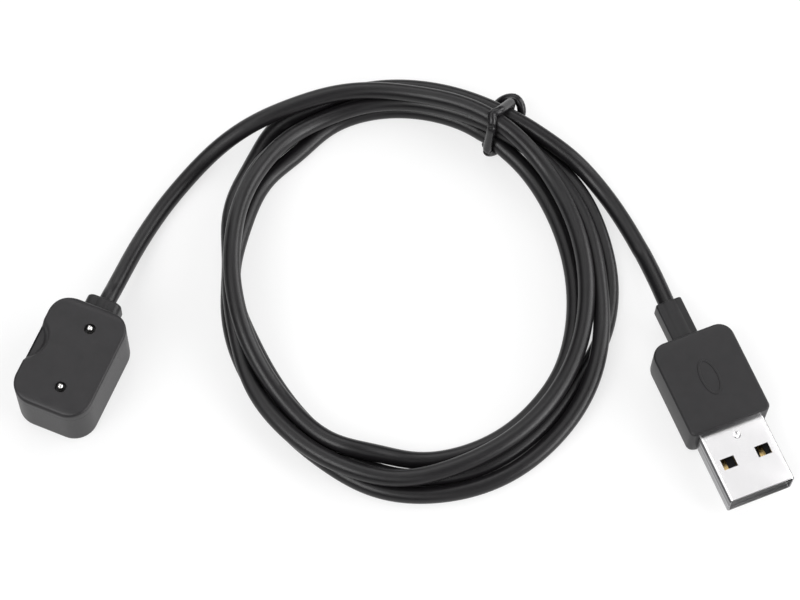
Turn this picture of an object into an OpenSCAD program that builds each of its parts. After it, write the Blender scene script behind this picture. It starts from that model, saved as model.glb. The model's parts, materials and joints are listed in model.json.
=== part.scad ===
// Magnetic charging cable: a small charging head with two sprung contact pins, one metre of round
// cord wound up and held by a wire tie, and a USB-A plug.
// Millimetres. The origin is at the middle of the charging head's underside, +Z is up, and the cord
// leaves the head towards +Y.

/* [Charging head] */
// Width of the head, across the direction of the cord
head_w = 14.1; // [12:0.1:17]
// Length of the head, along the direction of the cord
head_l = 20.8; // [16.8:0.1:25]
// Height of the head without its pins
head_h = 11; // [10.6:0.1:13.5]
// Radius of the head's upright corners
head_corner_r = 4; // [2.5:0.1:4.5]
// Thickness of the head's side walls and floor
head_wall = 1.2; // [0.9:0.05:1.3]
// Thickness of the top cover's plate
cover_t = 2; // [1.7:0.1:2.3]
// Length of the sloped band at each short end of the top cover
cover_slope_l = 1.1; // [0.6:0.1:1.6]
// How far the sloped bands fall
cover_slope_drop = 0.5; // [0.2:0.05:0.8]
// Length of the thumb notch along the edge of the top cover
notch_l = 8.4; // [5:0.1:9.5]
// Width of the thumb notch, in from the edge
notch_w = 2.6; // [1.5:0.1:3.2]
// Depth of the thumb notch below the top face
notch_drop = 1.2; // [0.6:0.1:1.4]
// Thickness of the circuit board
board_t = 0.8; // [0.6:0.1:1]
// Height of the posts that carry the circuit board
board_post_h = 1.4; // [1:0.1:1.6]

/* [Contact pins] */
// Distance between the two contact pins
pin_pitch = 11.6; // [10.4:0.1:13]
// How far the row of pins stands off the head's middle line
pin_x = 1; // [0:0.1:1.5]
// Diameter of a pin's moving tip
pin_tip_d = 1.1; // [0.8:0.05:1.4]
// How far a tip stands above the top cover, which is also its travel
pin_travel = 0.7; // [0.4:0.05:1]
// Thickness of a pin barrel's wall
barrel_wall = 0.2; // [0.15:0.05:0.3]
// How far a barrel's mouth lies below the top cover's face
barrel_recess = 1.5; // [1:0.1:2]
// Thickness of a pin spring's wire
spring_wire_d = 0.2; // [0.15:0.01:0.24]
// Number of turns in a pin spring
spring_turns = 8; // [6:1:9]
// Width of a magnet, across the head
magnet_w = 5; // [3:0.1:6]
// Length of a magnet, along the head
magnet_l = 3.4; // [2:0.1:3.8]
// Thickness of a magnet
magnet_t = 2; // [1:0.1:2.4]

/* [Cord] */
// Diameter of the cord
cord_d = 3; // [2.5:0.1:3.6]
// Diameter of an insulated wire inside the cord
wire_d = 0.7; // [0.5:0.05:0.8]
// Height of the cord's centre where it leaves the head
cord_z = 6; // [5.6:0.1:6.4]
// Width of the collar on the head
collar_w = 6.3; // [5.4:0.1:8]
// Height of the collar on the head
collar_h = 5; // [4.8:0.1:6]
// How far the collar stands out from the head
collar_l = 2.7; // [1.5:0.1:3.5]
// Thickness of the tie's coated wire
tie_d = 1.6; // [1.2:0.1:2]

/* [USB plug] */
// Width of the metal shell
shell_w = 12; // [10:0.1:14.4]
// Height of the metal shell
shell_h = 4.5; // [4.2:0.1:5.4]
// Thickness of the shell's sheet metal
shell_t = 0.3; // [0.25:0.01:0.35]
// How far the shell stands out of the overmould
shell_l = 12.5; // [11.7:0.1:15]
// Length of the overmould
overmould_l = 17.7; // [16.5:0.1:21.3]
// Thickness of the overmould outside the shell's sides
overmould_side = 1.45; // [1:0.05:2]
// Thickness of the overmould outside the shell's broad faces
overmould_face = 1.5; // [1:0.05:2]
// Length of the strain relief behind the overmould
boot_l = 7.8; // [5:0.1:9]
// Width of the strain relief
boot_w = 4.8; // [4.6:0.1:7]
// Height of the strain relief's flat body
boot_h = 3.4; // [3:0.1:4.5]
// Thickness of the tongue that carries the contacts
tongue_t = 1.75; // [1.5:0.01:1.84]
// Width of a contact
contact_w = 1; // [0.8:0.05:1.2]
// Thickness of a contact
contact_t = 0.3; // [0.2:0.01:0.35]

/* [Hidden] */
$fn = 64;

// Clearances and small shared sizes
eps = 0.05;               // extra depth of a cut that runs through a face
fit_gap = 0.05;           // gap around a piece that is pushed into another
sliding_gap = 0.03;       // gap around a piece that slides
well_gap = 0.1;           // gap between a barrel and its well in the cover
lip_t = 0.8;              // thickness of the cover's locating lip
lip_h = 0.7;              // depth of the cover's locating lip

// Head
base_h = head_h - cover_t;
notch_r = (notch_l * notch_l / 4 + notch_w * notch_w) / (2 * notch_w);
notch_y = 0.4;
board_z = head_wall + board_post_h;
board_top = board_z + board_t;
board_gap = 0.3;          // gap between the board's edge and the walls
post_d = 1.8;
post_inset = 2.6;         // distance of a post's centre from the inner walls

// Contact pins
stem_r = pin_tip_d / 2;
guide_r = stem_r + 0.07;  // the plunger's wider foot, which the barrel's mouth keeps in
barrel_bore_r = guide_r + sliding_gap;
barrel_r = barrel_bore_r + barrel_wall;
well_r = barrel_r + well_gap;
barrel_top = head_h - barrel_recess;
web_z = barrel_top + well_gap;   // underside of the web that closes the cover over a barrel
web_t = 0.5;
web_hole_r = stem_r + well_gap;
barrel_floor_t = 0.5;
mouth_t = 0.6;
guide_l = 1.2;
guide_top = barrel_top - mouth_t - 0.02;
spring_z = board_top + barrel_floor_t;
spring_h = guide_top - guide_l - spring_z;
spring_r = 0.42;
magnet_gap = 1.4;         // gap between the two magnets
magnet_y = (magnet_gap + magnet_l) / 2;

// Cord where it passes through pieces
cord_r = cord_d / 2;
cord_bore_r = cord_r + fit_gap;
cord_x = 0.2;
collar_neck_r = cord_r + 0.7;
crimp_r = cord_r + 0.7;
crimp_l = 1;
jacket_in = head_wall + crimp_l + 0.1;   // length of cord inside the head's end wall

// Plug
overmould_w = shell_w + 2 * overmould_side;
overmould_h = shell_h + 2 * overmould_face;
plug_z = overmould_h / 2;
shell_back = 8;           // length of shell inside the overmould
mould_l = 7;              // length of the inner mould behind the shell
mould_extra = 0.2;        // how far the inner mould stands out past the shell
mould_wall = 1;
tongue_gap = 0.1;
tongue_w = shell_w - 2 * shell_t - 2 * tongue_gap;
tongue_bottom = -shell_h / 2 + shell_t + tongue_gap;
tongue_top = tongue_bottom + tongue_t;
tongue_setback = 0.5;     // how far the tongue ends behind the shell's mouth
insulator_back = 7;       // length of insulator behind the overmould's front face
insulator_block_l = 6;
contact_out = 0.05;       // how far a contact stands above the tongue
contact_tail = 10;        // length of contact behind the overmould's front face
contact_y = [-3.5, -1, 1, 3.5];
contact_end = [1.4, 2.4, 2.4, 1.4];      // how far each contact ends behind the shell's mouth
latch_l = 2;
latch_w = 2.5;
latch_y = 3.2;
latch_back = 6.5;         // distance of the latch holes' middle from the shell's mouth
solder_r = 0.45;
solder_l = 1.2;

// Places of the coil and the plug, from the middle of the head's end wall at floor height
coil_centre = [45.6, 28.8];
coil_turn = 19.5;
tie_angle = 63;
plug_root = [107.5, 23];
plug_angle = -45.6;

// The wound cord: angle, inner radius, width and height in cord diameters
coil_profile = [
    [0, 28.2, 3.25, 2.5], [30, 28.1, 3.3, 2.5], [60, 30.2, 3.1, 2.45], [90, 32.9, 2.1, 3.05],
    [120, 31.8, 2.6, 3.05], [150, 29.6, 2.35, 3.15], [180, 28.5, 1.3, 4.05], [210, 27.8, 2.5, 3.05],
    [240, 30.7, 2.65, 2.15], [270, 33.1, 3.1, 2], [300, 32.5, 3.35, 2], [330, 30, 3.5, 2.05],
    [360, 28.2, 3.25, 2.5]
];
coil_sections = 48;
coil_chamfer = 1;

function coil_inner(a) = lookup(a, [for (row = coil_profile) [row[0], row[1]]]);
function coil_width(a) = cord_d * lookup(a, [for (row = coil_profile) [row[0], row[2]]]);
function coil_height(a) = cord_d * lookup(a, [for (row = coil_profile) [row[0], row[3]]]);

// A place of a lead beside the wound cord, at angle a, with its skin at gap from the coil's outer side
function beside_coil(a, gap, z) =
    let (reach = coil_inner(a) + coil_width(a) + cord_r + gap, turned = a + coil_turn)
    [coil_centre[0] + reach * cos(turned), coil_centre[1] + reach * sin(turned), z];

// The two leads: x and y from the middle of the head's end wall, and the height of the underside
dock_route = [
    [0.2, 4.8, 4.3], [0, 9.7, 2.9], [-0.4, 15.2, 1.2], [-0.2, 20.7, 0.1], [0.5, 26.2, 0],
    [1.9, 31.7, 0.2], [4, 37.3, 1.6], beside_coil(142, 1.7, 4), beside_coil(132.5, -1.3, 5.8)
];
plug_route = [
    beside_coil(39.7, -1.7, 2.1), beside_coil(36.1, -0.53, 1.1), beside_coil(28.8, 0.16, 0.1),
    beside_coil(19.9, 1.15, 0), beside_coil(10.8, 2.75, 0.1), [86, 45.7, 1.1]
];

function unit(v) = v / norm(v);

// Direction of a path at its point i
function heading(path, i) = unit(path[min(i + 1, len(path) - 1)] - path[max(i - 1, 0)]);

// One ring of a swept tube
function tube_ring(centre, along, ref, r, sides) =
    let (side = unit(cross(ref, along)), up = cross(along, side))
    [for (k = [0:sides - 1]) centre + r * (cos(360 * k / sides) * side + sin(360 * k / sides) * up)];

// Two triangles for each side between ring i and ring j
function band(i, j, sides) = [
    for (k = [0:sides - 1])
        let (next = (k + 1) % sides)
        each [
            [i * sides + k, j * sides + k, j * sides + next],
            [i * sides + k, j * sides + next, i * sides + next]
        ]
];

// A tube of radius r along a path; ref is any direction that the path never takes
module tube(path, r, ref = [0, 0, 1], sides = 8) {
    rings = [for (i = [0:len(path) - 1]) each tube_ring(path[i], heading(path, i), ref, r, sides)];
    first = [for (k = [0:sides - 1]) k];
    last = [for (k = [sides - 1:-1:0]) (len(path) - 1) * sides + k];
    polyhedron(rings, concat([first, last], [for (i = [0:len(path) - 2]) each band(i, i + 1, sides)]));
}

module rounded_rect(w, l, r) {
    square([w - 2 * r, l], center = true);
    square([w, l - 2 * r], center = true);
    for (x = [-1, 1], y = [-1, 1]) translate([x * (w / 2 - r), y * (l / 2 - r)]) circle(r);
}

module rounded_block(w, l, h, r) {
    linear_extrude(h) rounded_rect(w, l, r);
}

// A box that starts at x, and is centred on the X axis in width and height
module long_box(x, l, w, h) {
    translate([x, -w / 2, -h / 2]) cube([l, w, h]);
}

// A cylinder along +Y from the head's end wall, at the cord's height
module cord_cylinder(y, l, r) {
    translate([cord_x, head_l / 2 + y, cord_z]) rotate([-90, 0, 0]) cylinder(r = r, h = l);
}

// Everything that is placed from the middle of the head's end wall
module from_head_end() {
    translate([0, head_l / 2, 0]) children();
}

// The plug's own frame: +X towards its mouth, from the overmould's front face
module at_plug() {
    from_head_end() translate([plug_root[0], plug_root[1], plug_z]) rotate([0, 0, plug_angle]) children();
}

function plug_point(x) =
    [plug_root[0] + x * cos(plug_angle), plug_root[1] + x * sin(plug_angle), plug_z];

// -- charging head --

module head_base_cover() {
    color([0.41, 0.4, 0.41]) {
        difference() {
            rounded_block(head_w, head_l, base_h, head_corner_r);
            translate([0, 0, head_wall]) rounded_block(
                head_w - 2 * head_wall, head_l - 2 * head_wall, base_h, head_corner_r - head_wall);
            cord_cylinder(-head_wall - eps, head_wall + 2 * eps, collar_neck_r + fit_gap);
        }
        for (x = [-1, 1], y = [-1, 1])
            translate([x * (head_w / 2 - head_wall - post_inset), y * (head_l / 2 - head_wall - post_inset),
                head_wall]) cylinder(d = post_d, h = board_post_h);
    }
}

// The cover's outline from the side: flat with a slope at each short end
module cover_outline() {
    polygon([
        [-head_l / 2, base_h], [head_l / 2, base_h],
        [head_l / 2, head_h - cover_slope_drop], [head_l / 2 - cover_slope_l, head_h],
        [-head_l / 2 + cover_slope_l, head_h], [-head_l / 2, head_h - cover_slope_drop]
    ]);
}

module cover_lip() {
    lip_w = head_w - 2 * head_wall - 2 * fit_gap;
    lip_l = head_l - 2 * head_wall - 2 * fit_gap;
    lip_r = head_corner_r - head_wall - fit_gap;
    translate([0, 0, base_h - lip_h]) difference() {
        rounded_block(lip_w, lip_l, lip_h, lip_r);
        translate([0, 0, -eps])
            rounded_block(lip_w - 2 * lip_t, lip_l - 2 * lip_t, lip_h + 2 * eps, lip_r - lip_t);
    }
}

module head_top_cover() {
    color([0.26, 0.25, 0.26]) difference() {
        union() {
            intersection() {
                translate([0, 0, base_h]) rounded_block(head_w, head_l, cover_t, head_corner_r);
                rotate([90, 0, 90]) translate([0, 0, -head_w / 2]) linear_extrude(head_w) cover_outline();
            }
            cover_lip();
        }
        translate([-head_w / 2 + notch_w - notch_r, notch_y, head_h - notch_drop])
            cylinder(r = notch_r, h = notch_drop + eps);
        cord_cylinder(-head_wall - crimp_l - fit_gap, crimp_l + head_wall, crimp_r + fit_gap);
        for (side = [-1, 1]) translate([pin_x, side * pin_pitch / 2, 0]) {
            cylinder(r = well_r, h = web_z);
            cylinder(r = web_hole_r, h = head_h + eps);
            translate([0, 0, web_z + web_t]) cylinder(r = well_r, h = head_h);
        }
    }
}

module head_circuit_board() {
    board_w = head_w - 2 * head_wall - 2 * board_gap;
    board_l = head_l - 2 * head_wall - 2 * board_gap;
    color([0.1, 0.35, 0.2]) translate([0, 0, board_z])
        rounded_block(board_w, board_l, board_t, head_corner_r - head_wall - board_gap);
}

// Places of the solder joints on the head's board: red, then black
head_joint = [[-1.3, 3.8], [2.9, 4.2]];
joint_h = 0.5;

module head_solder_joints() {
    color([0.75, 0.75, 0.78]) for (place = head_joint)
        translate([place[0], place[1], board_top]) cylinder(r = 0.6, h = joint_h);
}

module head_magnet(side) {
    color([0.7, 0.7, 0.73]) translate([pin_x - magnet_w / 2, side * magnet_y - magnet_l / 2, base_h - magnet_t])
        cube([magnet_w, magnet_l, magnet_t]);
}

module at_pin(side) {
    translate([pin_x, side * pin_pitch / 2, 0]) children();
}

module pin_barrel(side) {
    barrel_h = barrel_top - board_top;
    color([0.85, 0.7, 0.35]) at_pin(side) translate([0, 0, board_top]) difference() {
        cylinder(r = barrel_r, h = barrel_h);
        translate([0, 0, barrel_floor_t])
            cylinder(r = barrel_bore_r, h = barrel_h - barrel_floor_t - mouth_t);
        translate([0, 0, barrel_floor_t + eps]) cylinder(r = stem_r + sliding_gap, h = barrel_h);
    }
}

module pin_spring(side) {
    per_turn = 10;
    rise = spring_h - spring_wire_d;
    steps = spring_turns * per_turn;
    path = [
        for (i = [0:steps])
            [spring_r * cos(360 * i / per_turn), spring_r * sin(360 * i / per_turn), rise * i / steps]
    ];
    color([0.7, 0.7, 0.72]) at_pin(side) translate([0, 0, spring_z + spring_wire_d / 2])
        tube(path, spring_wire_d / 2, sides = 6);
}

module pin_plunger(side) {
    tip_z = head_h + pin_travel - stem_r;
    color([0.85, 0.83, 0.8]) at_pin(side) {
        translate([0, 0, guide_top - guide_l]) cylinder(r = guide_r, h = guide_l);
        translate([0, 0, guide_top - eps]) cylinder(r = stem_r, h = tip_z - guide_top + eps);
        translate([0, 0, tip_z]) sphere(r = stem_r);
    }
}

// A wire of the cord inside the head: out of the jacket, round the pin barrel and down to its joint
module head_wire(start_x, bend, place) {
    jacket_y = head_l / 2 - jacket_in;
    path = [
        [cord_x + start_x, jacket_y, cord_z], [cord_x + start_x, jacket_y - 0.3, cord_z],
        bend, [place[0], place[1] + 0.9, cord_z - 1], [place[0], place[1], board_top + joint_h + 0.7],
        [place[0], place[1], board_top + joint_h]
    ];
    tube(path, wire_d / 2, ref = [1, 0, 0]);
}

module head_wire_red() {
    bend = [-1, head_l / 2 - jacket_in - 1.2, cord_z - 0.2];
    color([0.75, 0.1, 0.1]) head_wire(-0.7, bend, head_joint[0]);
}

module head_wire_black() {
    bend = [2.5, head_l / 2 - jacket_in - 1.1, cord_z - 0.2];
    color([0.12, 0.12, 0.12]) head_wire(0.7, bend, head_joint[1]);
}

module head_cord_crimp() {
    color([0.7, 0.65, 0.5]) difference() {
        cord_cylinder(-head_wall - crimp_l, crimp_l, crimp_r);
        cord_cylinder(-head_wall - crimp_l - eps, crimp_l + 2 * eps, cord_bore_r);
    }
}

module head_cord_collar() {
    corner_r = 1.2;
    color([0.16, 0.16, 0.17]) difference() {
        union() {
            translate([cord_x, head_l / 2 + collar_l, cord_z]) rotate([90, 0, 0])
                rounded_block(collar_w, collar_h, collar_l, corner_r);
            cord_cylinder(-head_wall, head_wall + eps, collar_neck_r);
        }
        cord_cylinder(-head_wall - eps, head_wall + collar_l + 2 * eps, cord_bore_r);
    }
}

// -- cord --

// The route's points with the cord's centre in place of its underside
function lifted(route) = [for (p = route) [p[0], p[1], p[2] + cord_r]];

module dock_lead() {
    inside = [[cord_x, -jacket_in, cord_z], [cord_x, collar_l + 0.2, cord_z]];
    color([0.2, 0.2, 0.21]) from_head_end() tube(concat(inside, lifted(dock_route)), cord_r);
}

module plug_lead() {
    inside = [plug_point(-overmould_l - boot_l - 0.4), plug_point(mould_wall - shell_back - mould_l)];
    color([0.2, 0.2, 0.21]) from_head_end() tube(concat(lifted(plug_route), inside), cord_r);
}

// The wound cord rides over the tie, so its underside rises there
tie_hump = 24;            // half the angle of the rise
tie_flat = 8;             // half the angle where the rise is full
function coil_lift(a) =
    let (away = abs((a - tie_angle + 540) % 360 - 180), share = (tie_hump - away) / (tie_hump - tie_flat))
    (tie_d + fit_gap) * max(0, min(1, share));

// Corners of the wound cord's section at angle a, as distance from the middle and height
function coil_section(a) =
    let (
        low = coil_lift(a), high = low + coil_height(a), near = coil_inner(a),
        far = near + coil_width(a), c = coil_chamfer
    )
    [
        [near + c, low], [far - c, low], [far, low + c], [far, high - c],
        [far - c, high], [near + c, high], [near, high - c], [near, low + c]
    ];

module at_coil() {
    from_head_end() translate([coil_centre[0], coil_centre[1], 0]) rotate([0, 0, coil_turn]) children();
}

module cord_coil() {
    corners = 8;
    angles = [for (i = [0:coil_sections - 1]) (tie_angle + 360 * i / coil_sections) % 360];
    points = [for (a = angles) each [for (p = coil_section(a)) [p[0] * cos(a), p[0] * sin(a), p[1]]]];
    faces = [for (i = [0:coil_sections - 1]) each band((i + 1) % coil_sections, i, corners)];
    color([0.2, 0.2, 0.21]) at_coil() polyhedron(points, faces);
}

// Coated wire: one turn and a half round the wound cord, with a tail bent over its outer side
module cord_tie() {
    tie_r = tie_d / 2;
    section = coil_section(tie_angle);
    low = section[0][1];
    high = section[4][1];
    middle = (low + high) / 2;
    near = section[6][0];
    far = section[2][0];
    c = coil_chamfer;
    hoop = [
        [far + tie_r, low + c], [far - c, low - tie_r], [near + c, low - tie_r], [near - tie_r, low + c],
        [near - tie_r, high - c], [near + c, high + tie_r], [far - c, high + tie_r], [far + tie_r, high - c]
    ];
    // where the wire passes each corner of the hoop, in wire thicknesses along the cord
    drift = [-1.2, -0.9, -0.55, -0.1, 0, 0.5, 0.3, 0, 0.1, 0.35, 0.7];
    tail = [
        [far + tie_r + 0.1, 1.75 * tie_d, middle - tie_d], [far + tie_r + 0.4, 1.6 * tie_d, middle],
        [far + tie_r + 1.1 * tie_d, 0, middle + 0.5 * tie_d], [far + tie_r + 0.5, -1.25 * tie_d, middle]
    ];
    turn = [for (i = [0:len(drift) - 1]) [hoop[i % 8][0], drift[i] * tie_d, hoop[i % 8][1]]];
    color([0.13, 0.13, 0.14]) at_coil() rotate([0, 0, tie_angle])
        tube(concat(tail, turn), tie_r, ref = [1, 1, -1]);
}

// -- USB plug --

module plug_boot() {
    ridge_r = cord_r + 0.6;
    color([0.18, 0.18, 0.19]) at_plug() difference() {
        union() {
            long_box(-overmould_l - boot_l, boot_l, boot_w, boot_h);
            translate([-overmould_l - boot_l, 0, 0]) rotate([0, 90, 0]) cylinder(r = ridge_r, h = boot_l);
        }
        translate([-overmould_l - boot_l - eps, 0, 0]) rotate([0, 90, 0])
            cylinder(r = cord_bore_r, h = boot_l + 2 * eps);
    }
}

// Plan of the overmould: small corners at the shell, larger ones at the cord
module overmould_plan() {
    front_r = 1.2;
    back_r = 2.5;
    half = overmould_w / 2;
    translate([-overmould_l + back_r, -half]) square([overmould_l - back_r - front_r, overmould_w]);
    translate([-front_r, -half + front_r]) square([front_r, overmould_w - 2 * front_r]);
    translate([-overmould_l, -half + back_r]) square([back_r, overmould_w - 2 * back_r]);
    for (side = [-1, 1]) {
        translate([-front_r, side * (half - front_r)]) circle(front_r);
        translate([-overmould_l + back_r, side * (half - back_r)]) circle(back_r);
    }
}

module plug_overmould() {
    edge_r = 0.9;
    color([0.22, 0.22, 0.23]) at_plug() difference() {
        intersection() {
            translate([0, 0, -overmould_h / 2]) linear_extrude(overmould_h) overmould_plan();
            translate([-overmould_l, 0, 0]) rotate([90, 0, 90])
                rounded_block(overmould_w, overmould_h, overmould_l, edge_r);
        }
        long_box(-shell_back, shell_back + eps, shell_w, shell_h);
        long_box(-shell_back - mould_l, mould_l, shell_w + 2 * mould_extra, shell_h + 2 * mould_extra);
        translate([-overmould_l - eps, 0, 0]) rotate([0, 90, 0]) cylinder(r = cord_bore_r, h = overmould_l / 2);
    }
}

module plug_inner_mould() {
    w = shell_w + 2 * mould_extra;
    h = shell_h + 2 * mould_extra;
    back = -shell_back - mould_l;
    color([0.85, 0.85, 0.82]) at_plug() difference() {
        long_box(back, mould_l, w, h);
        long_box(back + mould_wall, mould_l, w - 2 * mould_wall, h - 2 * mould_wall);
        translate([back - eps, 0, 0]) rotate([0, 90, 0]) cylinder(r = cord_bore_r, h = mould_l);
    }
}

module plug_shell() {
    color([0.8, 0.8, 0.82]) at_plug() difference() {
        long_box(-shell_back, shell_back + shell_l, shell_w, shell_h);
        long_box(-shell_back - eps, shell_back + shell_l + 2 * eps, shell_w - 2 * shell_t, shell_h - 2 * shell_t);
        for (side = [-1, 1])
            translate([0, side * latch_y, 0])
                long_box(shell_l - latch_back - latch_l / 2, latch_l, latch_w, shell_h + 2 * eps);
    }
}

module plug_insulator() {
    block_h = shell_h - 2 * shell_t - 2 * tongue_gap;
    color([0.1, 0.1, 0.1]) at_plug() difference() {
        translate([-insulator_back, -tongue_w / 2, tongue_bottom]) {
            cube([insulator_back + shell_l - tongue_setback, tongue_w, tongue_t]);
            cube([insulator_block_l, tongue_w, block_h]);
        }
        for (i = [0:3])
            translate([-insulator_back - eps, contact_y[i] - contact_w / 2, tongue_top + contact_out - contact_t])
                cube([insulator_back + eps + shell_l - contact_end[i], contact_w, contact_t]);
    }
}

module plug_contact(i) {
    color([0.9, 0.75, 0.4]) at_plug()
        translate([-contact_tail, contact_y[i] - contact_w / 2, tongue_top + contact_out - contact_t])
            cube([contact_tail + shell_l - contact_end[i], contact_w, contact_t]);
}

module plug_solder_joints() {
    color([0.75, 0.75, 0.78]) at_plug() for (i = [0, 3])
        translate([-contact_tail, contact_y[i], tongue_top + contact_out + solder_r]) rotate([0, 90, 0])
            cylinder(r = solder_r, h = solder_l);
}

// A wire of the cord inside the plug, from the jacket's end to its solder joint
module plug_wire(i, start_y) {
    jacket_x = mould_wall - shell_back - mould_l;
    joint_z = tongue_top + contact_out + solder_r;
    path = [
        [jacket_x, start_y, 0], [jacket_x + 0.5, start_y, 0], [-contact_tail - 1.5, contact_y[i], joint_z],
        [-contact_tail - 0.5, contact_y[i], joint_z], [-contact_tail, contact_y[i], joint_z]
    ];
    at_plug() tube(path, wire_d / 2);
}

module plug_wire_red() {
    color([0.75, 0.1, 0.1]) plug_wire(0, -0.6);
}

module plug_wire_black() {
    color([0.12, 0.12, 0.12]) plug_wire(3, 0.6);
}

head_base_cover();
head_top_cover();
head_circuit_board();
head_solder_joints();
head_magnet(-1);  // head_magnet_front
head_magnet(1);  // head_magnet_rear
pin_barrel(-1);  // pin_barrel_front
pin_barrel(1);  // pin_barrel_rear
pin_spring(-1);  // pin_spring_front
pin_spring(1);  // pin_spring_rear
pin_plunger(-1);  // pin_plunger_front
pin_plunger(1);  // pin_plunger_rear
head_wire_red();
head_wire_black();
head_cord_crimp();
head_cord_collar();
dock_lead();
cord_coil();
cord_tie();
plug_lead();
plug_boot();
plug_overmould();
plug_inner_mould();
plug_shell();
plug_insulator();
plug_contact(0);  // plug_contact_supply
plug_contact(1);  // plug_contact_data_a
plug_contact(2);  // plug_contact_data_b
plug_contact(3);  // plug_contact_ground
plug_wire_red();
plug_wire_black();
plug_solder_joints();
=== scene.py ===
"""Looks of a wearable's charging cable: a magnetic head, a metre of cord in a wire tie, and a USB plug.

Lengths are in millimetres until mesh_piece() and cord_piece() turn them into metres. Everything is
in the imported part's frame: +Z up, the head at the origin, and the cord leaving it towards +Y.
"""

import json
import math

import bpy
import numpy as np
from mathutils import Matrix, Vector


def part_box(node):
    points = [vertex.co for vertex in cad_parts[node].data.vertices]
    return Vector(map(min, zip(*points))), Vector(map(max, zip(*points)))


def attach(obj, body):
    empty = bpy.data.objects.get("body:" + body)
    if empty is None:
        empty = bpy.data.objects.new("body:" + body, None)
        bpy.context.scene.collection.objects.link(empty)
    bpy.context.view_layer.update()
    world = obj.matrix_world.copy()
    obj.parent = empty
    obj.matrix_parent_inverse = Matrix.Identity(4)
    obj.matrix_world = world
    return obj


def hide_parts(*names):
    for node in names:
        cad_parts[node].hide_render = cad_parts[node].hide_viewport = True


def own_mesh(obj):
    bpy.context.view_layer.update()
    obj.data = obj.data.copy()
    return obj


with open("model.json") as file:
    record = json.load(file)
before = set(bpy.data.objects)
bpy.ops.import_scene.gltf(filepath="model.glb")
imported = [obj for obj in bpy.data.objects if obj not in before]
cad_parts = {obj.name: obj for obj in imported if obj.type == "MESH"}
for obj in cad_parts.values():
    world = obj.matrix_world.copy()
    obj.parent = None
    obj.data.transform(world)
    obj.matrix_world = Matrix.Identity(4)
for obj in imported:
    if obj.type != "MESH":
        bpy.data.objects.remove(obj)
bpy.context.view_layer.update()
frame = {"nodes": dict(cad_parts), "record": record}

MM = 0.001


def box_mm(node):
    """Lowest and highest corners of a CAD node, in millimetres."""
    low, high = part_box(node)
    return np.array(low) / MM, np.array(high) / MM


def mount(name):
    """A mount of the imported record: its place in millimetres and its direction."""
    row = next(m for m in frame["record"]["mounts"] if m["name"] == name)
    return np.array(row["pos_m"]) / MM, np.array(row["axis"], float)


BASE_LOW, BASE_HIGH = box_mm("head_base_cover")
COVER_LOW, COVER_HIGH = box_mm("head_top_cover")
HEAD_W, HEAD_L = (BASE_HIGH - BASE_LOW)[:2]
HEAD_H = COVER_HIGH[2]
SPLIT_Z = BASE_HIGH[2]
END_Y = BASE_HIGH[1]
HEAD_CORNER = 4.0

CORD_R = 1.5
CORD_D = 2 * CORD_R
CORD_X = 0.2
CORD_Z = 6.0

SHELL_OUT = 12.5
SHELL_W = 12.0
SHELL_H = 4.5
SHELL_T = 0.3
OVERMOULD_L = 17.7
OVERMOULD_W = 14.9
OVERMOULD_H = 7.5
BOOT_L = 7.8
PLUG_TIP, PLUG_AXIS = mount("usb_a_plug")
PLUG_ROOT = PLUG_TIP - SHELL_OUT * PLUG_AXIS


# ---------------------------------------------------------------- materials

def new_material(name, colour, roughness, metallic=0.0, specular=0.5):
    """A Principled material and its nodes; the colour is linear."""
    mat = bpy.data.materials.new(name)
    mat.use_nodes = True
    nodes = mat.node_tree.nodes
    shader = nodes["Principled BSDF"]
    shader.inputs["Base Color"].default_value = (*colour, 1)
    shader.inputs["Roughness"].default_value = roughness
    shader.inputs["Metallic"].default_value = metallic
    shader.inputs["Specular IOR Level"].default_value = specular
    return mat, mat.node_tree, shader


def noise(tree, scale, detail=3.0, stretch=(1, 1, 1)):
    """Noise in the object's own coordinates, in features per metre."""
    coords = tree.nodes.new("ShaderNodeTexCoord")
    mapping = tree.nodes.new("ShaderNodeMapping")
    mapping.inputs["Scale"].default_value = stretch
    texture = tree.nodes.new("ShaderNodeTexNoise")
    texture.inputs["Scale"].default_value = scale
    texture.inputs["Detail"].default_value = detail
    tree.links.new(coords.outputs["Object"], mapping.inputs["Vector"])
    tree.links.new(mapping.outputs["Vector"], texture.inputs["Vector"])
    return texture.outputs["Fac"]


def spread(tree, value, low, high):
    """value, from 0.3 to 0.7, spread over low to high."""
    node = tree.nodes.new("ShaderNodeMapRange")
    node.inputs["From Min"].default_value = 0.3
    node.inputs["From Max"].default_value = 0.7
    node.inputs["To Min"].default_value = low
    node.inputs["To Max"].default_value = high
    tree.links.new(value, node.inputs["Value"])
    return node.outputs["Result"]


def vary_colour(tree, shader, value, dark, light):
    """The base colour runs from dark to light with value."""
    mix = tree.nodes.new("ShaderNodeMix")
    mix.data_type = "RGBA"
    mix.inputs["A"].default_value = (*dark, 1)
    mix.inputs["B"].default_value = (*light, 1)
    tree.links.new(value, mix.inputs["Factor"])
    tree.links.new(mix.outputs["Result"], shader.inputs["Base Color"])


def bump(tree, shader, value, height_mm, strength=1.0):
    node = tree.nodes.new("ShaderNodeBump")
    node.inputs["Strength"].default_value = strength
    node.inputs["Distance"].default_value = height_mm * MM
    tree.links.new(value, node.inputs["Height"])
    tree.links.new(node.outputs["Normal"], shader.inputs["Normal"])


def moulded_plastic(name, colour, roughness, grain=9000, height_mm=0.006, shade=0.12):
    """Moulded plastic: fine spark-eroded grain, faint mottling and uneven gloss."""
    mat, tree, shader = new_material(name, colour, roughness, specular=0.32)
    mottle = noise(tree, 420, 4)
    dark = [c * (1 - shade) for c in colour]
    light = [c * (1 + shade) for c in colour]
    vary_colour(tree, shader, spread(tree, mottle, 0, 1), dark, light)
    fine = noise(tree, grain, 2)
    tree.links.new(spread(tree, fine, roughness - 0.04, roughness + 0.05), shader.inputs["Roughness"])
    bump(tree, shader, fine, height_mm, 0.5)
    return mat


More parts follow.
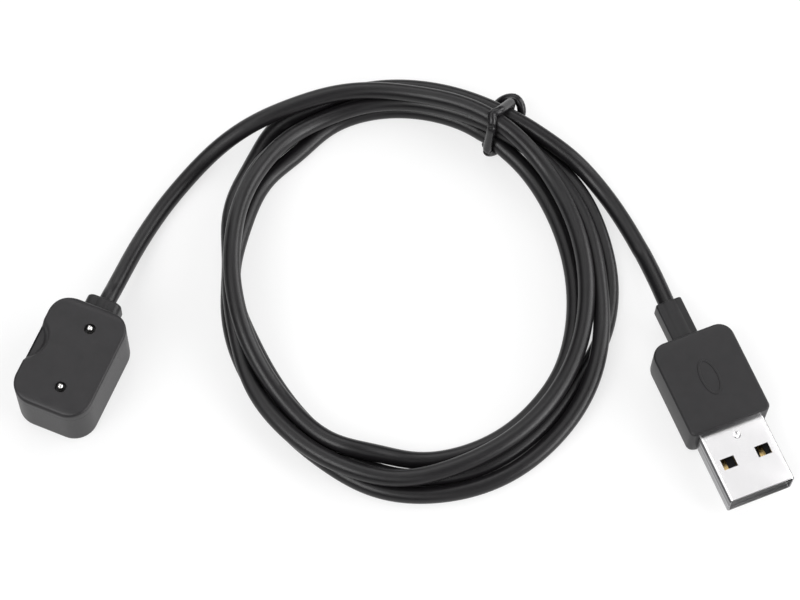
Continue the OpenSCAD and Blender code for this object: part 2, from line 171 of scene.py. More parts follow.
def plated_metal(name, colour, roughness, grain=2500, height_mm=0.0015, uneven=0.35, shade=0.07):
    """Plated or drawn metal: faint rolling marks and uneven gloss."""
    mat, tree, shader = new_material(name, colour, roughness, metallic=1.0)
    marks = noise(tree, grain, 3)
    smooth, dull = roughness * (1 - uneven), roughness * (1 + uneven)
    tree.links.new(spread(tree, marks, smooth, dull), shader.inputs["Roughness"])
    dark = [c * (1 - shade) for c in colour]
    vary_colour(tree, shader, spread(tree, noise(tree, 300, 3), 0, 1), dark, colour)
    bump(tree, shader, marks, height_mm, 0.4)
    return mat


def shell_metal():
    """Bright nickel plate; the shell's sides that stand on edge get painted shade, much darker in their
    colour, with painted reflection lines along them.
    """
    mat = plated_metal(
        "shell_nickel", (0.9, 0.89, 0.9), 0.24, 3000, height_mm=0.0001, uneven=0.06, shade=0.025
    )
    tree = mat.node_tree
    shader = tree.nodes["Principled BSDF"]
    coords = tree.nodes.new("ShaderNodeTexCoord")
    split = tree.nodes.new("ShaderNodeSeparateXYZ")
    tree.links.new(coords.outputs["Normal"], split.inputs["Vector"])
    # painted shade: faces whose normal lies near the floor plane get a far darker base colour
    side_shade_mask = tree.nodes.new("ShaderNodeMapRange")
    side_shade_mask.inputs["From Min"].default_value = 0.97
    side_shade_mask.inputs["From Max"].default_value = 0.6
    steep = tree.nodes.new("ShaderNodeMath")
    steep.operation = "ABSOLUTE"
    tree.links.new(split.outputs["Z"], steep.inputs[0])
    tree.links.new(steep.outputs["Value"], side_shade_mask.inputs["Value"])
    # painted reflection: dark and light lines along the sides, in the colour, standing in for reflected
    # edges and shaded floor
    reflection_lines = tree.nodes.new("ShaderNodeMix")
    reflection_lines.data_type = "RGBA"
    reflection_lines.inputs["A"].default_value = (0.05, 0.05, 0.052, 1)
    reflection_lines.inputs["B"].default_value = (0.36, 0.36, 0.37, 1)
    tree.links.new(spread(tree, noise(tree, 30, 2, (1, 1, 45)), 0, 1), reflection_lines.inputs["Factor"])
    mix = tree.nodes.new("ShaderNodeMix")
    mix.data_type = "RGBA"
    plain = shader.inputs["Base Color"].links[0].from_socket
    tree.links.new(side_shade_mask.outputs["Result"], mix.inputs["Factor"])
    tree.links.new(plain, mix.inputs["A"])
    tree.links.new(reflection_lines.outputs["Result"], mix.inputs["B"])
    tree.links.new(mix.outputs["Result"], shader.inputs["Base Color"])
    return mat


def make_materials():
    made = {
        "black_shell": moulded_plastic("case_plastic", (0.013, 0.0122, 0.0133), 0.42),
        "soft_black": moulded_plastic("soft_moulding", (0.0095, 0.009, 0.0098), 0.42),
        "overmould": moulded_plastic("plug_plastic", (0.012, 0.0113, 0.0123), 0.43),
        "cord": moulded_plastic("cord_jacket", (0.0065, 0.006, 0.0067), 0.34, grain=3200, height_mm=0.004),
        "tie": moulded_plastic("tie_coating", (0.0075, 0.007, 0.0078), 0.28, grain=2500, height_mm=0.006),
        "board": moulded_plastic("board_mask", (0.015, 0.1, 0.045), 0.3, shade=0.25),
        "insulator": moulded_plastic("insulator_black", (0.02, 0.02, 0.021), 0.4),
        "inner_mould": moulded_plastic("inner_mould", (0.66, 0.65, 0.6), 0.5),
        "wire_red": moulded_plastic("wire_red", (0.5, 0.02, 0.018), 0.35),
        "wire_black": moulded_plastic("wire_black", (0.02, 0.02, 0.02), 0.35),
        "shell_metal": shell_metal(),
        "pin_tip": plated_metal("pin_plating", (0.86, 0.84, 0.82), 0.14),
        "gold_plated": plated_metal("gold_plating", (0.83, 0.6, 0.26), 0.25),
        "spring_wire": plated_metal("spring_wire", (0.6, 0.6, 0.62), 0.3),
        "magnet": plated_metal("magnet_nickel", (0.65, 0.65, 0.66), 0.25),
        "solder": plated_metal("solder", (0.68, 0.68, 0.7), 0.35, 900),
        "crimp": plated_metal("crimp_brass", (0.7, 0.52, 0.28), 0.3),
    }
    made["black_cover"] = made["black_shell"]
    return made


MATERIALS = make_materials()


# ---------------------------------------------------------------- mesh tools

def mesh_piece(name, points, faces, slot, body="root", replaces=(), sharp=35):
    """A mesh object from points in mm, with its material, its body and the CAD nodes it stands for."""
    mesh = bpy.data.meshes.new(name)
    mesh.from_pydata([tuple(float(c) * MM for c in p) for p in points], [], faces)
    mesh.validate()
    mesh.update()
    piece = bpy.data.objects.new(name, mesh)
    bpy.context.scene.collection.objects.link(piece)
    finish_mesh(piece, sharp)
    mesh.materials.append(MATERIALS[slot])
    if body:
        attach(piece, body)
    if replaces:
        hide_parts(*replaces)
    return piece


def finish_mesh(piece, sharp):
    """Smooth shading, apart from edges sharper than the given angle."""
    mesh = piece.data
    mesh.polygons.foreach_set("use_smooth", [True] * len(mesh.polygons))
    mesh.set_sharp_from_angle(angle=math.radians(sharp))


def loft(sections, start_cap=True, end_cap=True):
    """Points and quads through closed sections of equal length, with caps as fans of one polygon."""
    count = len(sections[0])
    points = [p for section in sections for p in section]
    faces = []
    for i in range(len(sections) - 1):
        for k in range(count):
            near, far = i * count + k, i * count + (k + 1) % count
            faces.append((near, far, far + count, near + count))
    if start_cap:
        faces.append(tuple(range(count - 1, -1, -1)))
    if end_cap:
        faces.append(tuple((len(sections) - 1) * count + k for k in range(count)))
    return points, faces


def apply_modifiers(piece):
    """The piece's mesh with its modifiers worked out, and the modifiers removed."""
    graph = bpy.context.evaluated_depsgraph_get()
    mesh = bpy.data.meshes.new_from_object(piece.evaluated_get(graph))
    piece.modifiers.clear()
    old = piece.data
    piece.data = mesh
    bpy.data.meshes.remove(old)


def cut(piece, cutter_points, cutter_faces, sharp=35):
    """Cuts a closed shape out of a piece."""
    cutter = mesh_piece("cutter", cutter_points, cutter_faces, "insulator", body=None)
    modifier = piece.modifiers.new("cut", "BOOLEAN")
    modifier.operation = "DIFFERENCE"
    modifier.solver = "EXACT"
    modifier.object = cutter
    apply_modifiers(piece)
    bpy.data.objects.remove(cutter)
    finish_mesh(piece, sharp)


def rounded_outline(width, length, radius, arc=10, side_x=1, side_y=1):
    """Points round a rectangle with rounded corners, anticlockwise, with its straight sides divided."""
    radius = max(radius, 0.01)
    x, y = width / 2 - radius, length / 2 - radius
    corners = [(x, -y, -90, side_y), (x, y, 0, side_x), (-x, y, 90, side_y), (-x, -y, 180, side_x)]
    outline = []
    for i, (cx, cy, start, divisions) in enumerate(corners):
        for k in range(arc + 1):
            a = math.radians(start + 90 * k / arc)
            outline.append((cx + radius * math.cos(a), cy + radius * math.sin(a)))
        nx, ny, next_start, _ = corners[(i + 1) % 4]
        a = math.radians(next_start)
        last, goal = outline[-1], (nx + radius * math.cos(a), ny + radius * math.sin(a))
        for k in range(1, divisions):
            share = k / divisions
            outline.append(tuple(p + (q - p) * share for p, q in zip(last, goal)))
    return outline


def smoothstep(low, high, x):
    t = min(max((x - low) / (high - low), 0.0), 1.0)
    return t * t * (3 - 2 * t)


def lathe(profile, centre, count=32):
    """Points and faces of a turned shape: profile is (radius, height) from the bottom up."""
    sections = [
        [
            (
                centre[0] + r * math.cos(2 * math.pi * k / count),
                centre[1] + r * math.sin(2 * math.pi * k / count),
                z,
            )
            for k in range(count)
        ]
        for r, z in profile
    ]
    return loft(sections)


# ---------------------------------------------------------------- camera, light and floor

def add_camera():
    """A long lens, high over the front right: the tilt is from straight down."""
    tilt, azimuth, roll = math.radians(24.9), math.radians(-70.5), math.radians(-3)
    distance = 457 * MM
    target = Vector((45.8, 36.0, 0)) * MM
    out = Vector((math.cos(azimuth), math.sin(azimuth), 0))
    forward = -out * math.sin(tilt) - Vector((0, 0, 1)) * math.cos(tilt)
    up = -out * math.cos(tilt) + Vector((0, 0, 1)) * math.sin(tilt)
    right = forward.cross(up)
    right, up = right * math.cos(roll) - up * math.sin(roll), right * math.sin(roll) + up * math.cos(roll)
    data = bpy.data.cameras.new("camera")
    data.lens = 117
    data.sensor_width = 36
    data.clip_start = 0.02
    camera = bpy.data.objects.new("camera", data)
    bpy.context.scene.collection.objects.link(camera)
    place = Matrix((right, up, -forward)).transposed().to_4x4()
    place.translation = target - forward * distance
    camera.matrix_world = place
    bpy.context.scene.camera = camera


FLOOR_GLOW = 0.67

# Large soft lamps all round: compass angle from +X, height above the horizon, strength
LAMPS = [
    (0, 18, 2.0), (45, 18, 1.3), (135, 18, 0.35), (225, 18, 0.2), (315, 18, 0.25),
    (22, 45, 0.9), (68, 45, 0.25), (112, 45, 0.65), (158, 45, 0.2),
    (202, 45, 0.35), (248, 45, 1.7), (292, 45, 0.3),
    (90, 70, 0.2), (180, 70, 0.45), (270, 70, 0.15),
]


def add_lamps():
    for angle, height, strength in LAMPS:
        data = bpy.data.lights.new(f"softbox_{angle}_{height}", "SUN")
        data.angle = math.radians(34)
        data.energy = strength
        lamp = bpy.data.objects.new(data.name, data)
        bpy.context.scene.collection.objects.link(lamp)
        a, h = math.radians(angle), math.radians(height)
        toward = Vector((math.cos(a) * math.cos(h), math.sin(a) * math.cos(h), math.sin(h)))
        lamp.rotation_euler = toward.to_track_quat("Z", "Y").to_euler()


def add_studio():
    """White backdrop, and a floor that glows like a light table, so that it keeps only faint shadows."""
    scene = bpy.context.scene
    scene.view_settings.view_transform = "Standard"
    world = bpy.data.worlds.new("studio")
    world.use_nodes = True
    tree = world.node_tree
    seen = tree.nodes.new("ShaderNodeLightPath")
    tree.links.new(seen.outputs["Is Camera Ray"], tree.nodes["Background"].inputs["Strength"])
    tree.nodes["Background"].inputs["Color"].default_value = (1, 1, 1, 1)
    scene.world = world

    floor_mat, tree, shader = new_material("floor_white", (0.25, 0.25, 0.25), 0.6, specular=0)
    vary_colour(
        tree, shader, spread(tree, noise(tree, 20, 2), 0, 1), (0.245, 0.245, 0.245), (0.255, 0.255, 0.255)
    )
    shader.inputs["Emission Color"].default_value = (1, 1, 1, 1)
    shader.inputs["Emission Strength"].default_value = FLOOR_GLOW
    bpy.ops.mesh.primitive_plane_add(size=3, location=(0.05, 0.03, 0))
    floor = bpy.context.object
    floor.name = "floor"
    floor.data.materials.append(floor_mat)
    add_lamps()


# ---------------------------------------------------------------- cord

COIL_CENTRE = np.array([45.6, END_Y + 28.8])
COIL_TURN = math.radians(19.5)
OVAL = (30.0, 34.0)       # half sizes of the innermost strand's oval on the floor
TIE_ANGLE = 63
TIE_D = 1.6
FIRST_ANGLE = 120         # where the coil's first turn starts; it runs clockwise from here

# Each turn of the coil, clockwise: angle, cord widths out from the oval, cord widths up
TURNS = [
    [  # from the head: on top of the others, down into the groove, and up the stack at the left
        (120, 1.3, 1.9), (105, 0.65, 2), (90, 0.05, 2), (78, -0.1, 2), (63, -0.2, 1.9), (50, -0.05, 1.75),
        (40, 0.1, 1.5), (30, 0.15, 1.35), (15, 0.3, 1.4), (0, 0.5, 1.4), (-15, 0.75, 1.15),
        (-30, 0.9, 0.95), (-45, 0.97, 0.92), (-60, 1, 0.9), (-75, 1.2, 0.9), (-90, 1.5, 0.9),
        (-100, 1.42, 0.92), (-112, 1.25, 0.95), (-122, 1.1, 1), (-130, 1, 1), (-140, 0.85, 1),
        (-147, 0.62, 1.05), (-153, 0.44, 1.2), (-160, 0.34, 1.5), (-168, 0.3, 1.8), (-180, 0.2, 2),
        (-195, 0.45, 1.6), (-210, 0.8, 0.9), (-225, 1.1, 0.3),
    ],
    [  # on the floor, outermost at the right and innermost at the left
        (120, 1.25, 0), (105, 1.22, 0), (90, 1.08, 0), (78, 0.9, 0), (63, 0.72, 0), (50, 1.15, 0),
        (40, 1.5, 0), (30, 1.7, 0), (15, 1.85, 0), (0, 2.06, 0), (-15, 1.9, 0), (-30, 1.55, 0),
        (-60, 1.5, 0), (-75, 1.3, 0), (-90, 0.97, 0), (-100, 0.55, 0), (-112, 0.1, 0), (-120, -0.1, 0),
        (-130, -0.38, 0), (-140, -0.5, 0), (-150, -0.4, 0), (-158, -0.07, 0), (-165, 0.18, 0),
        (-172, 0.26, 0), (-180, 0.3, 0), (-195, 0.36, 0), (-210, 0.4, 0), (-225, 0.52, 0),
    ],
    [  # innermost on the floor, then up to the top of the stack at the left
        (120, 0.4, 0), (105, 0.28, 0), (90, 0.08, 0), (78, -0.12, 0), (63, -0.3, 0), (45, -0.38, 0),
        (30, -0.4, 0), (15, -0.3, 0), (0, -0.07, 0), (-15, 0.2, 0), (-30, 0.45, 0), (-45, 0.45, 0),
        (-60, 0.35, 0), (-75, 0.2, 0), (-90, 0.17, 0.05), (-100, 0.33, 0.4), (-112, 0.38, 0.85),
        (-122, 0.16, 0.97), (-130, 0.04, 1.05), (-140, 0.05, 1.4), (-150, 0.13, 1.9), (-165, 0.15, 2.6),
        (-180, 0.15, 3), (-195, 0.3, 2.5), (-210, 0.45, 1.8), (-225, 0.55, 1.3),
    ],
    [  # down from the top to the outside
        (120, 0.5, 0.95), (105, 0.35, 1), (90, 0.05, 1), (78, -0.12, 1), (63, -0.25, 1), (50, 0.3, 0.85),
        (40, 0.65, 0.65), (30, 0.9, 0.6), (15, 1.1, 0.72), (0, 1.3, 0.75), (-15, 1.85, 0.95),
        (-30, 2.17, 0.4), (-45, 2.25, 0.1), (-60, 2.35, 0), (-75, 2.2, 0), (-90, 1.97, 0),
        (-100, 1.55, 0), (-112, 1.1, 0), (-120, 0.95, 0), (-130, 0.72, 0), (-140, 0.58, 0),
        (-150, 0.55, 0.15), (-158, 0.45, 0.5), (-165, 0.35, 0.8), (-180, 0.2, 1), (-195, 0.75, 0.5),
        (-210, 1.3, 0), (-225, 1.2, 0.25),
    ],
    [  # outside the others, and off to the plug
        (120, 1.25, 0.95), (105, 1.15, 1), (90, 1.03, 1), (78, 0.87, 1), (70, 0.78, 1), (63, 0.7, 1),
        (55, 0.95, 1.05), (45, 1.5, 1), (38, 2.02, 0.6), (32, 2.5, 0.1),
    ],
]

# The two leads, as in the part's source: x and y from the head's end wall, and the underside's height
DOCK_ROUTE = [
    (0.2, 4.8, 4.3), (0, 9.7, 2.9), (-0.4, 15.2, 1.2), (-0.2, 20.7, 0.1), (0.5, 26.2, 0),
    (1.9, 31.7, 0.2), (4, 37.3, 1.6), (7, 41.7, 4), (11.5, 46.9, 5.8),
]
PLUG_ROUTE = [(72, 58.4, 0.1), (77, 54.6, 0), (82, 50.1, 0.1), (86, 45.7, 1.1)]


def smooth_value(keys, values, x):
    """A smooth curve through the keys that never overshoots a value."""
    i = min(max(int(np.searchsorted(keys, x)) - 1, 0), len(keys) - 2)

    def slope(j):
        if j == 0:
            return (values[1] - values[0]) / (keys[1] - keys[0])
        if j == len(keys) - 1:
            return (values[-1] - values[-2]) / (keys[-1] - keys[-2])
        before = (values[j] - values[j - 1]) / (keys[j] - keys[j - 1])
        after = (values[j + 1] - values[j]) / (keys[j + 1] - keys[j])
        return 0 if before * after <= 0 else 2 * before * after / (before + after)

    gap = keys[i + 1] - keys[i]
    t = (x - keys[i]) / gap
    return (
        (2 * t**3 - 3 * t**2 + 1) * values[i] + (t**3 - 2 * t**2 + t) * slope(i) * gap
        + (3 * t**2 - 2 * t**3) * values[i + 1] + (t**3 - t**2) * slope(i + 1) * gap
    )


def angle_from_tie(angle):
    return abs((angle - TIE_ANGLE + 180) % 360 - 180)


def coil_points():
    """The cord's centreline round the coil, every 3 degrees."""
    keys = [(360 * n + FIRST_ANGLE - a, out, up) for n, turn in enumerate(TURNS) for a, out, up in turn]
    travel, outs, ups = zip(*keys)
    points = []
    for s in np.arange(0, travel[-1] + 0.1, 3):
        angle = FIRST_ANGLE - s
        out = CORD_D * smooth_value(travel, outs, s)
        over_tie = TIE_D * math.exp(-((angle_from_tie(angle) / 18) ** 2))
        height = CORD_D * (0.5 + smooth_value(travel, ups, s)) + over_tie
        a = math.radians(angle)
        x, y = (OVAL[0] + out) * math.cos(a), (OVAL[1] + out) * math.sin(a)
        points.append((
            COIL_CENTRE[0] + x * math.cos(COIL_TURN) - y * math.sin(COIL_TURN),
            COIL_CENTRE[1] + x * math.sin(COIL_TURN) + y * math.cos(COIL_TURN),
            height,
        ))
    return points


def even_curve(points, step):
    """A smooth curve through the points, as points at even distances."""
    p = np.array(points, float)
    p = np.vstack([2 * p[0] - p[1], p, 2 * p[-1] - p[-2]])
    fine = []
    for i in range(1, len(p) - 2):
        a, b, c, d = p[i - 1:i + 3]
        for t in np.linspace(0, 1, 24, endpoint=False):
            doubled = 2 * b + (c - a) * t + (2 * a - 5 * b + 4 * c - d) * t**2
            fine.append(0.5 * (doubled + (3 * b - a - 3 * c + d) * t**3))
    fine = np.array([*fine, p[-2]])
    along = np.concatenate([[0], np.cumsum(np.linalg.norm(np.diff(fine, axis=0), axis=1))])
    places = np.linspace(0, along[-1], max(int(round(along[-1] / step)), 2) + 1)
    return np.stack([np.interp(places, along, fine[:, k]) for k in range(3)], axis=1)


def lowest_centre(points):
    """How low the cord's centre may lie: on the floor, or on the tie that passes under it."""
    x, y = (points[:, :2] - COIL_CENTRE).T
    angle = np.degrees(np.arctan2(y, x)) - math.degrees(COIL_TURN)
    away = np.abs((angle - TIE_ANGLE + 180) % 360 - 180)
    near_coil = np.hypot(x, y) < 42
    return CORD_R + np.where(near_coil, (TIE_D + 0.05) * np.exp(-((away / 6.5) ** 4)), 0)


def blur(values, width):
    """Values along the cord, smoothed over a number of points; the ends stay as they are."""
    reach = int(width * 3)
    kernel = np.exp(-0.5 * (np.arange(-reach, reach + 1) / width) ** 2)
    kernel /= kernel.sum()
    first, last = 2 * values[0] - values[reach:0:-1], 2 * values[-1] - values[-2:-reach - 2:-1]
    padded = np.vstack([first, values, last])
    return np.stack([np.convolve(padded[:, k], kernel, "valid") for k in range(values.shape[1])], axis=1)


def settle(points, rounds=240, still=(8, 24)):
    """Pushes strands apart until none passes through another; the cord's stiffness spreads each push.

    Points lie 1 mm apart. The first and last few, inside the head and the plug, stay where they are."""
    ends = points[:still[0]].copy(), points[-still[1]:].copy()
    points = blur(points, 3.5)
    lowest = lowest_centre(points)
    first, second = np.triu_indices(len(points), 12)
    clear = CORD_D + 0.02
    for turn in range(rounds):
        if turn % 8 == 0:
            near = ((points[second] - points[first]) ** 2).sum(axis=1) < (CORD_D + 1) ** 2
            a, b = first[near], second[near]
        tangent = np.gradient(points, axis=0)
        tangent /= np.linalg.norm(tangent, axis=1)[:, None]
        same_way = np.sign((tangent[a] * tangent[b]).sum(axis=1))[:, None]
        along = tangent[a] + tangent[b] * same_way
        along /= np.linalg.norm(along, axis=1)[:, None]
        gap = points[b] - points[a]
        offset = (gap * along).sum(axis=1)
        across = gap - offset[:, None] * along
        distance = np.linalg.norm(across, axis=1)
        hit = (distance < clear) & (np.abs(offset) < 0.8)
        share = ((clear - distance[hit]) / np.maximum(distance[hit], 1e-6))[:, None] * across[hit] * 0.6
        push, hits = np.zeros_like(points), np.zeros(len(points))
        np.add.at(push, a[hit], -share)
        np.add.at(push, b[hit], share)
        np.add.at(hits, a[hit], 1)
        np.add.at(hits, b[hit], 1)
        push /= np.maximum(hits, 1)[:, None]
        push[:, 2] = np.maximum(push[:, 2], lowest - points[:, 2])
        if turn < rounds - 60:
            push = blur(push, 4)
        elif turn < rounds - 12:
            push = blur(push, 1.5)
        points = points + push
        points[:, 2] = np.maximum(points[:, 2], lowest)
        points[:still[0]], points[-still[1]:] = ends
    return points


def cord_route():
    """The whole cord's centreline, from inside the head to inside the plug."""
    in_head = [(CORD_X, END_Y - 2.3, CORD_Z), (CORD_X, END_Y + 0.5, CORD_Z), (CORD_X, END_Y + 2.7, CORD_Z)]
    dock = [(x, END_Y + y, z + CORD_R) for x, y, z in DOCK_ROUTE]
    plug = [(x, END_Y + y, z + CORD_R) for x, y, z in PLUG_ROUTE]
    in_plug = [PLUG_ROOT + PLUG_AXIS * x for x in (-25, -22, -14.2)]
    return settle(even_curve([*in_head, *dock, *coil_points(), *plug, *in_plug], 1.0))


def cord_piece(name, points, radius, slot):
    """A round cord as one open spline."""
    data = bpy.data.curves.new(name, "CURVE")
    data.dimensions = "3D"
    data.bevel_depth = radius * MM
    data.bevel_resolution = 6
    data.use_fill_caps = True
    spline = data.splines.new("POLY")
    spline.points.add(len(points) - 1)
    flat = np.column_stack([np.array(points) * MM, np.ones(len(points))])
    spline.points.foreach_set("co", flat.ravel())
    spline.use_smooth = True
    piece = bpy.data.objects.new(name, data)
    bpy.context.scene.collection.objects.link(piece)
    data.materials.append(MATERIALS[slot])
    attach(piece, "root")
    return piece


ROUTE = cord_route()


def add_cord():
    return cord_piece("cord", ROUTE, CORD_R, "cord")


def tie_frame():
    """The tie's plane: the coil's centre, the way out from it, and the way round."""
    a = math.radians(TIE_ANGLE) + COIL_TURN
    out = np.array([math.cos(a), math.sin(a), 0])
    return np.array([*COIL_CENTRE, 0]), out, np.array([-math.sin(a), math.cos(a), 0])


def strands_at_tie():
    """Where the strands cross the tie's plane: distance out from the coil's centre, and height."""
    centre, out, round_way = tie_frame()
    rel = ROUTE - centre
    side, reach = rel @ round_way, rel @ out
    found = []
    for i in range(len(rel) - 1):
        if side[i] * side[i + 1] <= 0 < reach[i] and side[i] != side[i + 1]:
            t = side[i] / (side[i] - side[i + 1])
            height = rel[i, 2] + (rel[i + 1, 2] - rel[i, 2]) * t
            found.append((reach[i] + (reach[i + 1] - reach[i]) * t, height))
    return found


def hoop_outline(strands, clear, count=72):
    """A taut loop round the strands, at a distance from their centres, as (out, height)."""
    outline = []
    for k in range(count):
        a = 2 * math.pi * k / count
        way = np.array([math.cos(a), math.sin(a)])
        outline.append(max((np.array(s) @ way, s) for s in strands)[1] + way * clear)
    return np.array(outline)


def add_tie():
    """Coated wire: a tail bent over the outer side, then one and a half turns round the strands."""
    centre, out, round_way = tie_frame()
    strands = strands_at_tie()
    radius = TIE_D / 2
    far = max(reach for reach, _ in strands) + CORD_R
    count = 72
    hoop = hoop_outline(strands, CORD_R + radius + 0.02, count)
    hoop[:, 1] = np.maximum(hoop[:, 1], radius)
    # the tail, then the turns: shift along the cord, distance out, height
    wire = [(2.9, far + 0.9, 2.2), (2.6, far + 1.3, 3.8), (1.5, far + 2.1, 5.2), (0.1, far + 2.6, 5.7)]
    wire += [(-1.2, far + 2.2, 5.2), (-1.95, far + 1.4, 3.9)]
    turned, shifts = zip(
        (20, -1.95), (90, -1.1), (160, -0.15), (200, 0), (240, 0.45), (262, 0.95), (276, 0.5), (292, 0.2),
        (340, 0.02), (380, 0.1), (450, 0.85), (470, 1.1),
    )
    for angle in range(20, 471, 5):
        reach, height = hoop[round(-angle / 360 * count) % count]
        wire.append((smooth_value(turned, shifts, angle), reach, height))
    path = [centre + round_way * w + out * o + np.array([0, 0, z]) for w, o, z in wire]
    return cord_piece("tie_wire", even_curve(path, 0.5), radius, "tie")


# ---------------------------------------------------------------- charging head

def head_section(inset, z):
    outline = rounded_outline(HEAD_W - 2 * inset, HEAD_L - 2 * inset, HEAD_CORNER - inset, 12, 16, 28)
    return [(x, y, z) for x, y in outline]


def add_head_base():
    """The lower shell, with a rounded foot."""
    foot_r = 1.2
    sections = []
    for k in range(7):
        a = math.radians(90 * k / 6)
        sections.append(head_section(foot_r * (1 - math.sin(a)), foot_r * (1 - math.cos(a))))
    sections += [head_section(0, 1.6), head_section(0, 5), head_section(0, SPLIT_Z - 0.02)]
    wall = 1.2
    sections += [head_section(wall, SPLIT_Z - 0.02), head_section(wall, wall)]
    points, faces = loft(sections)
    return mesh_piece("head_case", points, faces, "black_shell", replaces=["head_base_cover"])


NOTCH_W, NOTCH_L, NOTCH_Y = 2.6, 8.4, 0.4
GAP = 0.1                 # between a pin's parts and the cover
WEB_T = 0.5               # of the cover's web over a pin's barrel
PIN_HOLE_R = 0.59
BAND_L = 1.6              # of the rounded band at each short end


def notch_depth(x, y):
    """Depth of the thumb scoop: a steep inner wall and a floor that falls gently outwards."""
    radius = (NOTCH_L**2 / 4 + NOTCH_W**2) / (2 * NOTCH_W)
    inside = radius - math.hypot(x + HEAD_W / 2 - NOTCH_W + radius, y - NOTCH_Y)
    return 1.1 * smoothstep(0, 1.1, inside) + 0.05 * max(inside - 0.8, 0)


def band_drop(y):
    """The top face curves down over the last stretch at each short end."""
    return 0.2 * max(abs(y) - (HEAD_L / 2 - BAND_L), 0) ** 2


def add_head_cover():
    """The top cover: a grid that follows the outline, with edge radius, end bands and scoop as heights."""
    edge_r = 0.45
    lip_inset, seam_z = 0.9, SPLIT_Z + 0.02
    sections = [head_section(lip_inset, SPLIT_Z - 0.5), head_section(lip_inset, seam_z)]
    sections.append(head_section(0, seam_z))
    sections += [head_section(0, SPLIT_Z + 0.4), head_section(0, SPLIT_Z + 0.8)]
    insets = [edge_r * (1 - math.cos(math.radians(a))) for a in range(0, 91, 18)]
    insets += list(np.arange(edge_r + 0.15, HEAD_W / 2 - 0.2, 0.16))
    for inset in insets:
        ring = []
        for x, y, _ in head_section(inset, 0):
            roll = edge_r - math.sqrt(max(edge_r**2 - max(edge_r - inset, 0) ** 2, 0))
            ring.append((x, y, HEAD_H - roll - band_drop(y) - notch_depth(x, y)))
        sections.append(ring)
    points, faces = loft(sections)
    cover = mesh_piece("head_cover", points, faces, "black_cover", replaces=["head_top_cover"], sharp=50)
    for node in ("pin_barrel_front", "pin_barrel_rear"):
        low, high = box_mm(node)
        middle, well_r = (low + high) / 2, (high - low)[0] / 2 + GAP
        web_low, web_high = high[2] + GAP, high[2] + GAP + WEB_T
        bore = [(well_r, SPLIT_Z - 2), (well_r, web_low), (PIN_HOLE_R, web_low), (PIN_HOLE_R, web_high)]
        bore += [(well_r - 0.12, web_high), (well_r - 0.04, web_high + 0.04), (well_r, web_high + 0.12)]
        bore += [(well_r, HEAD_H - 0.1), (well_r + 0.03, HEAD_H - 0.03)]
        bore += [(well_r + 0.1, HEAD_H), (well_r + 0.1, HEAD_H + 1)]
        cut(cover, *lathe(bore, middle, 48), sharp=50)
    return cover


def add_pin(side):
    """A contact pin's plunger: a foot in the barrel, a stem and a blunt turned tip."""
    low, high = box_mm(f"pin_plunger_{side}")
    middle = (low + high) / 2
    top = high[2]
    stem = 0.55
    foot_r, tip_z = 0.62, top - 0.62
    profile = [(foot_r, low[2]), (foot_r, low[2] + 1.2), (stem, low[2] + 1.21), (stem, tip_z)]
    profile += [
        (stem * math.cos(math.radians(a)) ** 0.8, tip_z + 0.6 * math.sin(math.radians(a)))
        for a in range(12, 85, 12)
    ]
    profile.append((0.05, top))
    points, faces = lathe(profile, middle)
    return mesh_piece(
        f"pin_{side}_tip", points, faces, "pin_tip", body=f"pin_{side}", replaces=[f"pin_plunger_{side}"]
    )


def add_spring(side):
    """A pin's spring, built at rest: in the real pin the plunger squeezes it towards its foot as the pin
    goes down.
    """
    low, high = box_mm(f"pin_spring_{side}")
    middle = (low + high) / 2
    wire, turns, per_turn = 0.1, 8, 16
    coil_r = (high - low)[0] / 2 - wire
    bottom, rise = low[2] + wire, high[2] - low[2] - 2 * wire
    sections = []
    for i in range(turns * per_turn + 1):
        a = 2 * math.pi * i / per_turn
        z = bottom + rise * i / (turns * per_turn)
        ring = []
        for k in range(8):
            b = 2 * math.pi * k / 8
            reach = coil_r + wire * math.cos(b)
            height = z - wire * math.sin(b)
            ring.append((middle[0] + reach * math.cos(a), middle[1] + reach * math.sin(a), height))
        sections.append(ring)
    points, faces = loft(sections)
    spring = mesh_piece(f"pin_{side}_spring", points, faces, "spring_wire", replaces=[f"pin_spring_{side}"])
    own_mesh(spring)
    return spring


def ridge_outline(width, height, ridge_r, corner, count=8):
    """A flat slab's section with a round ridge along the middle of both faces, as (across, up)."""
    half_w, half_h = width / 2, height / 2
    foot = math.degrees(math.asin(min(half_h / ridge_r, 1)))
    quarter = []
    for k in range(count + 1):
        a = math.radians(90 * k / count)
        quarter.append((half_w - corner + corner * math.cos(a), half_h - corner + corner * math.sin(a)))
    for k in range(count + 1):
        a = math.radians(foot + (90 - foot) * k / count)
        quarter.append((ridge_r * math.cos(a), ridge_r * math.sin(a)))
    top = quarter + [(-x, y) for x, y in reversed(quarter[:-1])]
    return top + [(x, -y) for x, y in reversed(top)]


def circle_like(outline, radius):
    """A circle with one point for each point of the outline, in the same directions."""
    ring = []
    for x, y in outline:
        reach = math.hypot(x, y) or 1
        ring.append((x / reach * radius, y / reach * radius))
    return ring


def add_collar():
    """The soft collar where the cord leaves the head."""
    low, high = box_mm("head_cord_collar")
    middle_x = (low[0] + high[0]) / 2
    out_y = high[1]
    outline = ridge_outline(6.3, 4.8, 2.6, 1.3)
    bore = circle_like(outline, CORD_R + 0.02)

    def section(shape, y, inset=0.0):
        return [(middle_x + x * (1 - inset), y, CORD_Z + z * (1 - inset)) for x, z in shape]

    sections = [section(outline, END_Y - 0.02), section(outline, out_y - 0.5)]
    for k in range(1, 6):
        a = math.radians(90 * k / 5)
        sections.append(section(outline, out_y - 0.5 + 0.5 * math.sin(a), 0.16 * (1 - math.cos(a))))
    sections += [section(bore, out_y), section(bore, out_y - 1)]
    points, faces = loft(sections)
    return mesh_piece("cord_collar", points, faces, "soft_black", replaces=["head_cord_collar"])


# ---------------------------------------------------------------- USB plug

